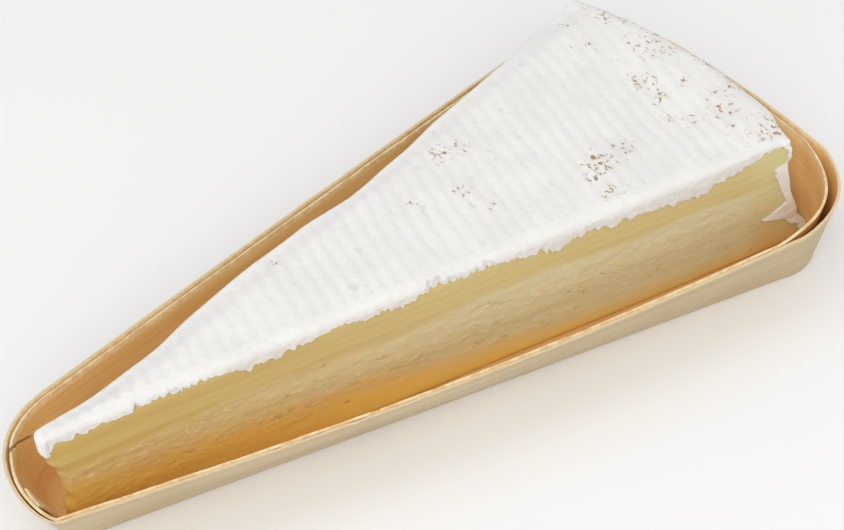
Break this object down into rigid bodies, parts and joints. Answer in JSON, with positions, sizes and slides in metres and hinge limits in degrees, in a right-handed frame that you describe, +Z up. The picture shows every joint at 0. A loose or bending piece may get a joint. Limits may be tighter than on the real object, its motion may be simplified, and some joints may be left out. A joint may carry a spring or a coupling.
{
  "type": "brie wedge in veneer tray",
  "caption": "Wedge of bloomy-rind soft cheese lying in an open, round-tipped tray of folded wood veneer.",
  "frame": {"origin": "middle of the footprint of the whole object's box, on the surface the tray stands on", "axes": "+X from the wedge's tip towards the wheel's edge, +Z up, so -Y is the side of the near cut"},
  "size_m": [0.1968, 0.0944, 0.0314],
  "materials": {
    "cheese": "white felted rind over yellow-gold paste",
    "band_veneer": "pale raw poplar veneer",
    "sheet_veneer": "warm tan veneer, darkened by fat",
    "strip_veneer": "light tan veneer"
  },
  "bodies": {
    "root": {"cheese_wedge": "cheese", "outer_band": "band_veneer", "folded_sheet": "sheet_veneer", "tucked_strip": "strip_veneer"}
  },
  "joints": []
}
